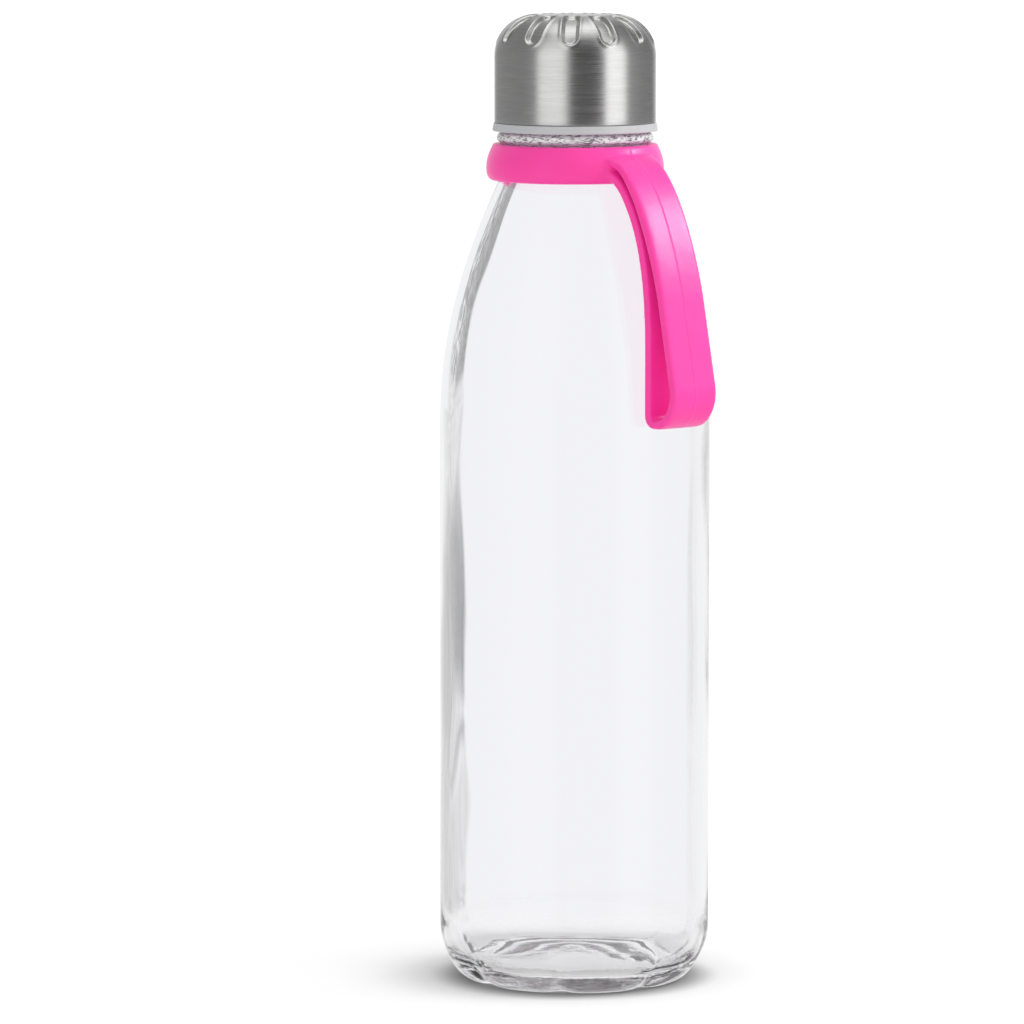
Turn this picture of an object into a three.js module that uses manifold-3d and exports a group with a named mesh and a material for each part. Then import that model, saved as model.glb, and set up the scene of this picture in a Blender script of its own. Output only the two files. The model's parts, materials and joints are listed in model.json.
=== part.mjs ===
// A glass water bottle with a screw cap and a silicone carry strap.
// Millimetres, +Z up. The origin is on the bottle's axis, on the plane that the bottle stands on.

import * as THREE from 'three';
import { mergeVertices } from 'three/addons/utils/BufferGeometryUtils.js';
import Module from 'manifold-3d';

const wasm = await Module();
wasm.setup();

// ---- Driving dimensions ----

const GAP = 0.3; // clearance between neighbouring pieces
const SIDES = 48; // flat sides in one full turn of a round piece

// The bottle's body. Heights on the bottle are measured from the plane that it stands on.
const BODY_RADIUS = 35;
const WALL = 3;
const PUSH_UP_RADIUS = 21.5;
const PUSH_UP_HEIGHT = 2.6;
const STANDING_RADIUS = 27;
const HEEL_HEIGHT = 14;
const HEEL_ROUNDNESS = 1.8; // exponent of the heel's superellipse; 2 would be a plain ellipse
const LOBES = 8;
const LOBE_DEPTH = 1;
const INSIDE_FLOOR = 5.4;
const INSIDE_HEEL_HEIGHT = 20;
const INSIDE_FLOOR_RADIUS = 24;

// The shoulder is one cubic curve. Its two middle control points stand straight above the body's wall.
const SHOULDER_START = 138.2;
const SHOULDER_CONTROL_LOW = 155.4;
const SHOULDER_CONTROL_HIGH = 174.9;
const SHOULDER_END = 208.4;
const SHOULDER_END_RADIUS = 19.5;

// The neck: a groove that holds the strap's collar, a bead above it, then the screw finish.
const NECK_RADIUS = 18.6;
const BEAD_RADIUS = 20.2;
const BEAD_BOTTOM = 217.7;
const BEAD_TOP = 220.3;
const BEAD_CHAMFER = 0.6;
const FINISH_RADIUS = 17.6;
const BORE_RADIUS = 15.2;
const RIM_HEIGHT = 241.8;
const RIM_CHAMFER = 0.8;

// The screw thread is right-handed. The cap's ridge runs half a pitch below the neck's.
const THREAD_PITCH = 4.2;
const THREAD_TURNS = 1.5;
const THREAD_ROOT_WIDTH = 2.4;
const THREAD_CREST_WIDTH = 0.9;
const THREAD_RUN_OUT = 0.08; // share of the thread's length over which each end dies away
const NECK_THREAD_START = 229.6;
const NECK_THREAD_RADIUS = 18.8;
const CAP_THREAD_RADIUS = 17.95;

// The cap. Heights on the cap are measured from its mouth.
const CAP_LEVEL = 220.7; // height of the mouth when the cap is screwed down
const CAP_HEIGHT = 29.8;
const CAP_RADIUS = 20.8;
const CAP_CORNER = 10.5;
const SHEET = 0.5;
const FLANGE_HEIGHT = 2.1;
const FLANGE_RADIUS = 21.35;
const FLANGE_DRAFT = 0.3;
const MOUTH_CHAMFER = 0.6;
const SKIRT_RADIUS = 20;
const SKIRT_BORE = 19.1;
const SKIRT_BORE_TOP = 17.4; // above the thread the bore narrows to locate the seal
const SEAT_RADIUS = 17.95;
const CEILING_BOTTOM = 22.9;
const CEILING_TOP = 24.5;
const LOCATOR_BOTTOM = 18.9;
const LOCATOR_OUTER = 13.7;
const LOCATOR_INNER = 12.5;

// Flutes pressed into the cap's rounded corner.
const FLUTES = 12;
const FLUTE_SIDES = 6; // flat sides of the shell to one flute
const FLUTE_DEPTH = 0.8;
const FLUTE_HALF_WIDTH = 2.6;
const FLUTE_HALF_FLOOR = 1.5;
const FLUTE_MIDDLE = 54; // degrees round the corner, from its vertical end
const FLUTE_HALF_LENGTH = 6.2;

// The seal, a flat washer on the bottle's rim.
const SEAL_INNER = 14;
const SEAL_OUTER = 17.6;
const SEAL_BOTTOM = 21.3;
const SEAL_THICKNESS = 1.3;

// The strap. Heights on the strap are measured from the line that the loop swings about.
const STRAP_LEVEL = 212;
const STRAP_DIRECTION = -45; // degrees about +Z, from +X
const COLLAR_BOTTOM = -4;
const COLLAR_TOP = 5.4;
const COLLAR_BORE = 19;
const COLLAR_BORE_BOTTOM = -1.6; // below this height the bore flares out over the shoulder
const COLLAR_MOUTH = 20.1;
const COLLAR_FOOT_RADIUS = 21.6;
const COLLAR_TOP_RADIUS = 21;
const BAND_WIDTH = 14;
const BAND_THICKNESS = 2.4;
const BAND_EDGE = 0.8; // rounding along the band's edges
const SWING_RADIUS = 24.95; // from the bottle's axis to the swing line
const ROOT_RADIUS = 1.8;
const LOOP_REACH = 45.4; // from the bottle's axis to the middle of the outer leg, at its farthest
const LOOP_REACH_HEIGHT = -54;
const LOOP_BOTTOM = -65;
const LOOP_INNER = 36.5; // from the bottle's axis to the middle of the inner leg, beside the glass
const LOOP_INNER_TOP = -48;
// Points that each curve of the loop heads for, as distance from the bottle's axis and height, or one of them
const OUTER_LEG_LEAVES = [34.5, -1];
const OUTER_LEG_LANDS_FROM = -36;
const BEND_LEAVES = -59;
const BEND_LANDS_FROM = 40.4;
const INNER_LEG_LEAVES = -34.3;
const INNER_LEG_LANDS_FROM = [37, -22.3];
const TIGHT_BEND = 2; // radius where the band turns up beside the glass
const CROTCH = 0.2; // share of each leg, from the swing line, over which the two legs are one

// ---- Helpers ----

const radians = THREE.MathUtils.degToRad;

// A point of an outline: distance from the axis, and height.
function at(radius, height) {
  return new THREE.Vector2(radius, height);
}

function arc(centre, radius, startDegrees, endDegrees, steps) {
  const clockwise = endDegrees < startDegrees;
  const start = radians(startDegrees);
  const end = radians(endDegrees);
  const curve = new THREE.EllipseCurve(centre.x, centre.y, radius, radius, start, end, clockwise);
  return curve.getPoints(steps);
}

// Revolves an outline about +Z. The outline runs anticlockwise, with the material on its left.
function revolve(outline, sides = SIDES) {
  return new THREE.LatheGeometry(outline, sides).rotateX(Math.PI / 2);
}

// Moves every vertex of a geometry to where a function of its position puts it.
function reshape(geometry, move) {
  const position = geometry.attributes.position;
  const point = new THREE.Vector3();
  for (let i = 0; i < position.count; i += 1) {
    point.fromBufferAttribute(position, i);
    move(point);
    position.setXYZ(i, point.x, point.y, point.z);
  }
  return geometry;
}

function toSolid(geometry) {
  geometry.deleteAttribute('normal');
  geometry.deleteAttribute('uv');
  const merged = mergeVertices(geometry);
  const corners = merged.index.array;
  const kept = [];
  for (let i = 0; i < corners.length; i += 3) {
    const [a, b, c] = corners.slice(i, i + 3);
    if (a !== b && b !== c && c !== a) {
      kept.push(a, b, c);
    }
  }
  const vertProperties = merged.attributes.position.array;
  const triVerts = new Uint32Array(kept);
  return new wasm.Manifold(new wasm.Mesh({ numProp: 3, vertProperties, triVerts }));
}

function toGeometry(solid) {
  const mesh = solid.getMesh();
  const geometry = new THREE.BufferGeometry();
  geometry.setAttribute('position', new THREE.BufferAttribute(mesh.vertProperties, 3));
  geometry.setIndex(new THREE.BufferAttribute(mesh.triVerts, 1));
  geometry.computeVertexNormals();
  return geometry;
}

function join(first, second) {
  return toGeometry(toSolid(first).add(toSolid(second)));
}

function piece(name, geometry, material) {
  const mesh = new THREE.Mesh(geometry, material);
  mesh.name = name;
  return mesh;
}

// ---- Shapes ----

// A thread ridge of trapezoid section, wound up a helix from the start height. A straight bar is extruded
// and each of its points is wrapped: x is height on the section, y runs from foot to crest, z along the
// helix. The foot is sunk into the wall. A ridge that points inwards is mirrored to keep its faces out.
function threadRidge(wallRadius, crestRadius, startHeight) {
  const outwards = Math.sign(crestRadius - wallRadius);
  const footRadius = wallRadius - outwards * GAP;
  const section = new THREE.Shape([
    at(-THREAD_ROOT_WIDTH / 2, 0),
    at(THREAD_ROOT_WIDTH / 2, 0),
    at(THREAD_CREST_WIDTH / 2, 1),
    at(-THREAD_CREST_WIDTH / 2, 1),
  ]);
  const bar = new THREE.ExtrudeGeometry(section, {
    depth: 1,
    steps: SIDES * THREAD_TURNS,
    bevelEnabled: false,
  });
  const lowestRelief = 0.1;
  return reshape(bar, (point) => {
    const turns = point.z * THREAD_TURNS;
    const fromEnd = Math.min(point.z, 1 - point.z) / THREAD_RUN_OUT;
    const relief = THREE.MathUtils.clamp(fromEnd, lowestRelief, 1);
    const radius = THREE.MathUtils.lerp(footRadius, crestRadius, point.y * relief);
    const height = startHeight + turns * THREAD_PITCH + outwards * point.x;
    const angle = turns * 2 * Math.PI;
    point.set(radius * Math.cos(angle), radius * Math.sin(angle), height);
  });
}

function glassBottle() {
  const pushUp = new THREE.QuadraticBezierCurve(
    at(0, PUSH_UP_HEIGHT),
    at(PUSH_UP_RADIUS / 2, PUSH_UP_HEIGHT),
    at(PUSH_UP_RADIUS, 0),
  );
  const heel = [];
  const heelSteps = 6;
  for (let i = 0; i <= heelSteps; i += 1) {
    const turn = (Math.PI / 2) * (1 - i / heelSteps);
    const out = Math.cos(turn) ** (2 / HEEL_ROUNDNESS);
    const down = Math.sin(turn) ** (2 / HEEL_ROUNDNESS);
    const radius = THREE.MathUtils.lerp(STANDING_RADIUS, BODY_RADIUS, out);
    heel.push(at(radius, HEEL_HEIGHT * (1 - down)));
  }
  const shoulder = new THREE.CubicBezierCurve(
    at(BODY_RADIUS, SHOULDER_START),
    at(BODY_RADIUS, SHOULDER_CONTROL_LOW),
    at(BODY_RADIUS, SHOULDER_CONTROL_HIGH),
    at(SHOULDER_END_RADIUS, SHOULDER_END),
  );
  const grooveStart = SHOULDER_END + 1.6;
  const neck = [
    at(NECK_RADIUS, grooveStart),
    at(NECK_RADIUS, BEAD_BOTTOM),
    at(BEAD_RADIUS - BEAD_CHAMFER, BEAD_BOTTOM),
    at(BEAD_RADIUS, BEAD_BOTTOM + BEAD_CHAMFER),
    at(BEAD_RADIUS, BEAD_TOP - BEAD_CHAMFER),
    at(BEAD_RADIUS - BEAD_CHAMFER, BEAD_TOP),
    at(FINISH_RADIUS, BEAD_TOP),
    at(FINISH_RADIUS, RIM_HEIGHT - RIM_CHAMFER),
    at(FINISH_RADIUS - RIM_CHAMFER, RIM_HEIGHT),
    at(BORE_RADIUS + RIM_CHAMFER, RIM_HEIGHT),
    at(BORE_RADIUS, RIM_HEIGHT - RIM_CHAMFER),
  ];
  const insideRadius = BODY_RADIUS - WALL;
  const insideShoulder = new THREE.CubicBezierCurve(
    at(BORE_RADIUS, SHOULDER_END + WALL),
    at(insideRadius, SHOULDER_CONTROL_HIGH),
    at(insideRadius, SHOULDER_CONTROL_LOW),
    at(insideRadius, SHOULDER_START),
  );
  const insideHeel = new THREE.CubicBezierCurve(
    at(insideRadius, INSIDE_HEEL_HEIGHT),
    at(insideRadius, INSIDE_FLOOR + WALL),
    at(insideRadius - WALL, INSIDE_FLOOR + 1),
    at(INSIDE_FLOOR_RADIUS, INSIDE_FLOOR),
  );
  const body = revolve([
    ...pushUp.getPoints(4),
    ...heel,
    ...shoulder.getPoints(8),
    ...neck,
    ...insideShoulder.getPoints(7),
    ...insideHeel.getPoints(5),
    at(0, INSIDE_FLOOR),
  ]);
  return join(reshape(body, pinchHeel), threadRidge(FINISH_RADIUS, NECK_THREAD_RADIUS, NECK_THREAD_START));
}

// Draws the outside of the heel in between the lobes, deepest halfway up the heel.
function pinchHeel(point) {
  const radius = Math.hypot(point.x, point.y);
  if (point.z <= 0 || point.z >= HEEL_HEIGHT || radius < STANDING_RADIUS) {
    return;
  }
  const angle = Math.atan2(point.y, point.x);
  const valley = 1 - Math.abs(Math.sin((LOBES / 2) * angle));
  const height = Math.sin((Math.PI * point.z) / HEEL_HEIGHT);
  const scale = 1 - (LOBE_DEPTH * valley * height) / radius;
  point.x *= scale;
  point.y *= scale;
}

function capShell() {
  const corner = at(CAP_RADIUS - CAP_CORNER, CAP_HEIGHT - CAP_CORNER);
  const bottom = FLANGE_HEIGHT + GAP;
  const cornerSteps = 8;
  const shell = revolve(
    [
      at(0, CAP_HEIGHT - SHEET),
      ...arc(corner, CAP_CORNER - SHEET, 90, 0, cornerSteps),
      at(CAP_RADIUS - SHEET, bottom),
      at(CAP_RADIUS, bottom),
      ...arc(corner, CAP_CORNER, 0, 90, cornerSteps),
      at(0, CAP_HEIGHT),
    ],
    FLUTES * FLUTE_SIDES,
  );
  return reshape(shell, (point) => pressFlute(point, corner));
}

// Pushes the sheet towards the centre of its rounded corner, inside the round-ended outline of a flute.
function pressFlute(point, corner) {
  const radius = Math.hypot(point.x, point.y);
  if (radius < corner.x || point.z < corner.y) {
    return;
  }
  const rise = Math.atan2(point.z - corner.y, radius - corner.x);
  const pitchAngle = (2 * Math.PI) / FLUTES;
  const angle = Math.atan2(point.y, point.x);
  const offset = angle - Math.round(angle / pitchAngle) * pitchAngle;
  const across = offset * (corner.x + CAP_CORNER * Math.cos(rise));
  const along = Math.abs(rise - radians(FLUTE_MIDDLE)) * CAP_CORNER;
  const pastEnd = Math.max(along - (FLUTE_HALF_LENGTH - FLUTE_HALF_WIDTH), 0);
  const distance = Math.hypot(across, pastEnd);
  const wall = THREE.MathUtils.smoothstep(distance, FLUTE_HALF_FLOOR, FLUTE_HALF_WIDTH);
  const press = FLUTE_DEPTH * (1 - wall);
  const newRadius = radius - press * Math.cos(rise);
  point.x *= newRadius / radius;
  point.y *= newRadius / radius;
  point.z -= press * Math.sin(rise);
}

function capInsert() {
  const corner = at(CAP_RADIUS - CAP_CORNER, CAP_HEIGHT - CAP_CORNER);
  const roundingRadius = CAP_CORNER - SHEET - FLUTE_DEPTH - GAP;
  const roundingEnd = THREE.MathUtils.radToDeg(Math.asin((CEILING_TOP - corner.y) / roundingRadius));
  const body = revolve([
    at(0, CEILING_BOTTOM),
    at(LOCATOR_INNER, CEILING_BOTTOM),
    at(LOCATOR_INNER, LOCATOR_BOTTOM),
    at(LOCATOR_OUTER, LOCATOR_BOTTOM),
    at(LOCATOR_OUTER, CEILING_BOTTOM),
    at(SEAT_RADIUS, CEILING_BOTTOM),
    at(SEAT_RADIUS, SKIRT_BORE_TOP + 1),
    at(SKIRT_BORE, SKIRT_BORE_TOP),
    at(SKIRT_BORE, MOUTH_CHAMFER),
    at(SKIRT_BORE + MOUTH_CHAMFER, 0),
    at(FLANGE_RADIUS, 0),
    at(FLANGE_RADIUS - FLANGE_DRAFT, FLANGE_HEIGHT),
    at(SKIRT_RADIUS, FLANGE_HEIGHT),
    at(SKIRT_RADIUS, corner.y - 1),
    ...arc(corner, roundingRadius, 0, roundingEnd, 3),
    at(0, CEILING_TOP),
  ]);
  const threadStart = NECK_THREAD_START - THREAD_PITCH / 2 - CAP_LEVEL;
  return join(body, threadRidge(SKIRT_BORE, CAP_THREAD_RADIUS, threadStart));
}

function capSeal() {
  return revolve([
    at(SEAL_INNER, SEAL_BOTTOM),
    at(SEAL_OUTER, SEAL_BOTTOM),
    at(SEAL_OUTER, SEAL_BOTTOM + SEAL_THICKNESS),
    at(SEAL_INNER, SEAL_BOTTOM + SEAL_THICKNESS),
    at(SEAL_INNER, SEAL_BOTTOM),
  ]);
}

function neckRing() {
  const outside = new THREE.CubicBezierCurve(
    at(COLLAR_FOOT_RADIUS, COLLAR_BOTTOM),
    at(23.1, -3.2),
    at(23.4, 2),
    at(COLLAR_TOP_RADIUS, COLLAR_TOP),
  );
  return revolve([
    at(COLLAR_BORE, COLLAR_BORE_BOTTOM),
    at(COLLAR_MOUTH, COLLAR_BOTTOM),
    ...outside.getPoints(7),
    at(COLLAR_BORE, COLLAR_TOP),
    at(COLLAR_BORE, COLLAR_BORE_BOTTOM),
  ]);
}

// The middle of the band's thickness, as curves in the loop's plane: down the outer leg, round the bend
// at the bottom, and up the inner leg beside the glass. Each has the number of steps that it needs.
function loopMidline() {
  const swingLine = at(SWING_RADIUS, 0);
  const reach = at(LOOP_REACH, LOOP_REACH_HEIGHT);
  const bendCentre = at(LOOP_INNER + TIGHT_BEND, LOOP_BOTTOM + TIGHT_BEND);
  const lowest = at(bendCentre.x, LOOP_BOTTOM);
  const innerFoot = at(LOOP_INNER, bendCentre.y);
  const innerTop = at(LOOP_INNER, LOOP_INNER_TOP);
  const outerLeg = new THREE.CubicBezierCurve(
    swingLine,
    at(...OUTER_LEG_LEAVES),
    at(LOOP_REACH, OUTER_LEG_LANDS_FROM),
    reach,
  );
  const wideBend = new THREE.CubicBezierCurve(
    reach,
    at(LOOP_REACH, BEND_LEAVES),
    at(BEND_LANDS_FROM, LOOP_BOTTOM),
    lowest,
  );
  const tightBend = new THREE.EllipseCurve(
    bendCentre.x,
    bendCentre.y,
    TIGHT_BEND,
    TIGHT_BEND,
    -Math.PI / 2,
    Math.PI,
    true,
  );
  const innerLeg = new THREE.CubicBezierCurve(
    innerTop,
    at(LOOP_INNER, INNER_LEG_LEAVES),
    at(...INNER_LEG_LANDS_FROM),
    swingLine,
  );
  return [
    { curve: outerLeg, steps: 10 },
    { curve: wideBend, steps: 6 },
    { curve: tightBend, steps: 4 },
    { curve: new THREE.LineCurve(innerFoot, innerTop), steps: 1 },
    { curve: innerLeg, steps: 9 },
  ];
}

// One side of the band: points a constant distance to the left of the midline, all along it. The first
// and last curves can be left out near the swing line, over a share of their length.
function bandSide(distance, share) {
  const points = [];
  const parts = loopMidline();
  parts.forEach(({ curve, steps }, part) => {
    const from = part === 0 ? share : 0;
    const to = part === parts.length - 1 ? 1 - share : 1;
    for (let i = 0; i < steps; i += 1) {
      const along = THREE.MathUtils.lerp(from, to, i / steps);
      const { x, y } = curve.getTangent(along);
      points.push(curve.getPoint(along).add(at(-y, x).multiplyScalar(distance)));
    }
  });
  return points;
}

// The loop is a band bent in one plane, so it is its own side view, extruded over the band's width.
function carryLoop() {
  const outside = bandSide(BAND_THICKNESS / 2, 0).reverse(); // anticlockwise, as a bevelled outline has to be
  const inside = bandSide(-BAND_THICKNESS / 2, CROTCH);
  const sideView = new THREE.Shape(outside);
  sideView.holes.push(new THREE.Path(inside));
  const band = new THREE.ExtrudeGeometry(sideView, {
    depth: BAND_WIDTH - 2 * BAND_EDGE,
    bevelThickness: BAND_EDGE,
    bevelSize: BAND_EDGE,
    bevelOffset: -BAND_EDGE,
    bevelSegments: 2,
  });
  band.translate(0, 0, BAND_EDGE - BAND_WIDTH / 2).rotateX(Math.PI / 2);
  const root = new THREE.CylinderGeometry(ROOT_RADIUS, ROOT_RADIUS, BAND_WIDTH - BAND_EDGE, SIDES / 3);
  root.translate(SWING_RADIUS, 0, 0);
  return join(band, root);
}

// ---- Materials ----

function clearGlass() {
  return new THREE.MeshStandardMaterial({
    color: 0xe6ebea,
    roughness: 0.03,
    metalness: 0,
    transparent: true,
    opacity: 0.35,
  });
}

function brushedSteel() {
  return new THREE.MeshStandardMaterial({ color: 0xb9bcc0, roughness: 0.32, metalness: 1 });
}

function frostedPlastic() {
  return new THREE.MeshStandardMaterial({ color: 0xd3d6d8, roughness: 0.45, metalness: 0 });
}

function clearSilicone() {
  return new THREE.MeshStandardMaterial({ color: 0xe9e9e6, roughness: 0.55, metalness: 0 });
}

function pinkSilicone() {
  return new THREE.MeshStandardMaterial({ color: 0xff4fa8, roughness: 0.5, metalness: 0 });
}

// ---- Assembly ----

const cap = new THREE.Group();
cap.position.z = CAP_LEVEL;
cap.add(piece('cap_shell', capShell(), brushedSteel()));
cap.add(piece('cap_insert', capInsert(), frostedPlastic()));
cap.add(piece('cap_seal', capSeal(), clearSilicone()));

const strap = new THREE.Group();
strap.position.z = STRAP_LEVEL;
strap.rotation.z = radians(STRAP_DIRECTION);
strap.add(piece('neck_ring', neckRing(), pinkSilicone()));
strap.add(piece('carry_loop', carryLoop(), pinkSilicone()));

const bottle = new THREE.Group();
bottle.add(piece('glass_bottle', glassBottle(), clearGlass()));
bottle.add(cap);
bottle.add(strap);

export default bottle;
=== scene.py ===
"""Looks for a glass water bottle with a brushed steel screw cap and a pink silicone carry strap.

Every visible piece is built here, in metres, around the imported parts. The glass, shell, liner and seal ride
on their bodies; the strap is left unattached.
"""

import json
import math

import bpy
import numpy as np
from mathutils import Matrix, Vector


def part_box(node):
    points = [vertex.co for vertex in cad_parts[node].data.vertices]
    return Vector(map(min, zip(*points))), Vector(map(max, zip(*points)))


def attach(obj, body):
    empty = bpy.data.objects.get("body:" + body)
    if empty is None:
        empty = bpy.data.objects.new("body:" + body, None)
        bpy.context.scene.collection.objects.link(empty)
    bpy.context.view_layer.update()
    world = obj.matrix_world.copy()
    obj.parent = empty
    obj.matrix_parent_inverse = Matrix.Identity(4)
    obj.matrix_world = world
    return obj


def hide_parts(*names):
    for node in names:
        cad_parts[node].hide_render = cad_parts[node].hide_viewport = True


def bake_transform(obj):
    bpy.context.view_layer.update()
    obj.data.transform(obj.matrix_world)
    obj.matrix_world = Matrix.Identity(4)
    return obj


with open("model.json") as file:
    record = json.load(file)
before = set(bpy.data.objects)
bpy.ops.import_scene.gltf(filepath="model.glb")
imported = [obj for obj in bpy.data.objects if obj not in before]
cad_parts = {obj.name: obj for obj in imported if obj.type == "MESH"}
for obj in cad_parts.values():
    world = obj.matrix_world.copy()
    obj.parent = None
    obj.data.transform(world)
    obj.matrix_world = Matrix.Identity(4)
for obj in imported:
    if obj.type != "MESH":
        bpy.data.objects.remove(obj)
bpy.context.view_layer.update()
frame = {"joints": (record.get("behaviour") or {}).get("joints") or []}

MM = 0.001

# ---- Sizes read from the frame, in millimetres ----


def node_box(node):
    """A node's lowest and highest corners."""
    low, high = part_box(node)
    return np.array(low) / MM, np.array(high) / MM


GLASS_HIGH = node_box("glass_bottle")[1]
SHELL_HIGH = node_box("cap_shell")[1]
INSERT_LOW, INSERT_HIGH = node_box("cap_insert")
SEAL_LOW, SEAL_HIGH = node_box("cap_seal")
RING_LOW, RING_HIGH = node_box("neck_ring")

BODY_RADIUS = GLASS_HIGH[0]
RIM_HEIGHT = GLASS_HIGH[2]
CAP_RADIUS = SHELL_HIGH[0]
CAP_TOP = SHELL_HIGH[2]
FLANGE_RADIUS = INSERT_HIGH[0]
CAP_MOUTH = INSERT_LOW[2]
COLLAR_BOTTOM = RING_LOW[2]
COLLAR_TOP = RING_HIGH[2]

# The loop's direction: outwards from the bottle's axis to the swing line, and along that line.
joints = {joint["name"]: joint for joint in frame["joints"]}
SWING_POINT = np.array(joints["loop_swing"]["pos_m"]) / MM
SWING_RADIUS = math.hypot(SWING_POINT[0], SWING_POINT[1])
LOOP_OUT = np.array([SWING_POINT[0], SWING_POINT[1], 0]) / SWING_RADIUS
LOOP_SIDE = np.cross([0, 0, 1], LOOP_OUT)

# ---- Curves, as arrays of (radius, height) points ----


def bezier(a, b, c, d, steps):
    """A cubic curve from a to d, without its last point."""
    t = np.linspace(0, 1, steps, endpoint=False)[:, None]
    a, b, c, d = (np.array(p, float) for p in (a, b, c, d))
    return (1 - t) ** 3 * a + 3 * (1 - t) ** 2 * t * b + 3 * (1 - t) * t * t * c + t ** 3 * d


def arc(centre, radius, start, end, steps):
    """A circular arc between two angles in degrees, without its last point."""
    angle = np.radians(np.linspace(start, end, steps, endpoint=False))
    return np.array(centre) + radius * np.column_stack([np.cos(angle), np.sin(angle)])


def line(a, b, steps):
    """Points from a to b, without b."""
    t = np.linspace(0, 1, steps, endpoint=False)[:, None]
    return (1 - t) * np.array(a, float) + t * np.array(b, float)


def smoothstep(value, low, high):
    """0 up to low and 1 from high, with a smooth run between."""
    t = np.clip((value - low) / (high - low), 0, 1)
    return t * t * (3 - 2 * t)


def resample(points, spacing):
    """The same path with points at an even spacing."""
    step = np.hypot(*np.diff(points, axis=0).T)
    length = np.concatenate([[0], np.cumsum(step)])
    wanted = np.linspace(0, length[-1], max(2, round(length[-1] / spacing) + 1))
    return np.column_stack([np.interp(wanted, length, points[:, k]) for k in range(points.shape[1])])


# ---- Meshes ----


def mesh_object(name, vertices, faces):
    """A smooth-shaded object from vertices in millimetres and a list of faces."""
    mesh = bpy.data.meshes.new(name)
    mesh.from_pydata((np.asarray(vertices) * MM).tolist(), [], faces)
    mesh.validate()
    mesh.update()
    mesh.shade_smooth()
    obj = bpy.data.objects.new(name, mesh)
    bpy.context.scene.collection.objects.link(obj)
    return obj


def revolve(name, outline, sides, move=None):
    """Revolves an anticlockwise (radius, height) outline about +Z. An outline that doesn't close on itself
    starts and ends on the axis. move(radius, height, angle) may shift every point of the surface."""
    closed = np.allclose(outline[0], outline[-1])
    ring_points = outline[:-1] if closed else outline[1:-1]
    angle = np.arange(sides) * 2 * math.pi / sides
    radius = np.repeat(ring_points[:, 0][:, None], sides, axis=1)
    height = np.repeat(ring_points[:, 1][:, None], sides, axis=1)
    angle = np.broadcast_to(angle, radius.shape)
    if move is not None:
        radius, height = move(radius, height, angle)
    vertices = np.stack([radius * np.cos(angle), radius * np.sin(angle), height], axis=-1).reshape(-1, 3)
    rings = len(ring_points)
    faces = []
    for ring in range(rings if closed else rings - 1):
        here = ring * sides
        above = ((ring + 1) % rings) * sides
        for side in range(sides):
            after = (side + 1) % sides
            faces.append((here + side, here + after, above + after, above + side))
    if not closed:
        low_pole = len(vertices)
        high_pole = low_pole + 1
        ends = [[0, 0, outline[0][1]], [0, 0, outline[-1][1]]]
        vertices = np.vstack([vertices, ends])
        last = (rings - 1) * sides
        for side in range(sides):
            after = (side + 1) % sides
            faces.append((low_pole, after, side))
            faces.append((high_pole, last + side, last + after))
    return mesh_object(name, vertices, faces)


# ---- The screw thread, shared by the neck and the cap's insert ----

THREAD_PITCH = 4.2
THREAD_TURNS = 1.5
THREAD_FOOT = 2.5
THREAD_CREST = 0.8
THREAD_RUN_OUT = 0.09  # turns over which each end dies away
NECK_THREAD_START = 229.6


def thread_relief(height, angle, start):
    """How much of the full thread stands at each height and angle, from 0 to 1. It is one right-handed helix
    that starts at a given height at angle 0."""
    turn_here = np.mod(angle, 2 * math.pi) / (2 * math.pi)
    relief = np.zeros_like(height)
    for lap in range(math.ceil(THREAD_TURNS) + 1):
        turn = turn_here + lap
        off_middle = np.abs(height - start - THREAD_PITCH * turn)
        section = 1 - smoothstep(off_middle, THREAD_CREST / 2, THREAD_FOOT / 2)
        ends = smoothstep(np.minimum(turn, THREAD_TURNS - turn), 0, THREAD_RUN_OUT)
        relief = np.maximum(relief, section * ends)
    return relief


# ---- Glass bottle ----

STANDING_RADIUS = 27
HEEL_HEIGHT = 14
HEEL_ROUNDNESS = 1.8
SHOULDER_START = 138.2
SHOULDER_END = 208.4
FINISH_LEVEL = 216.5
FINISH_RADIUS = 17.6
NECK_THREAD_DEPTH = 1.2
LOBES = 8
LOBE_PHASE = math.radians(-2.6)
CREASE_DEPTH = 1.0
CREASE_SHARPNESS = 2.6
CREASE_LIFT = 0.6
WALL = 3
PUSH_UP_HEIGHT = 3.0
PUSH_UP_RADIUS = 21.4
SHOULDER_END_RADIUS = 19.5
NECK_RADIUS = 18.6
BEAD_MIDDLE = (18.9, 219.0)
BEAD_ROUNDING = 1.3
RIM_ROUNDING = 1.2

# The inside of blown glass is never true. Each wave: amplitude, waves round the bottle, millimetres of
# height for each radian, and phase.
INSIDE_WAVES = [
    (0.060, 2, 47, 1.1),
    (0.050, 3, -31, 0.4),
    (0.035, 5, 19, 2.2),
    (0.022, 8, -11, 4.0),
    (0.010, 13, 7, 5.1),
]


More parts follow.
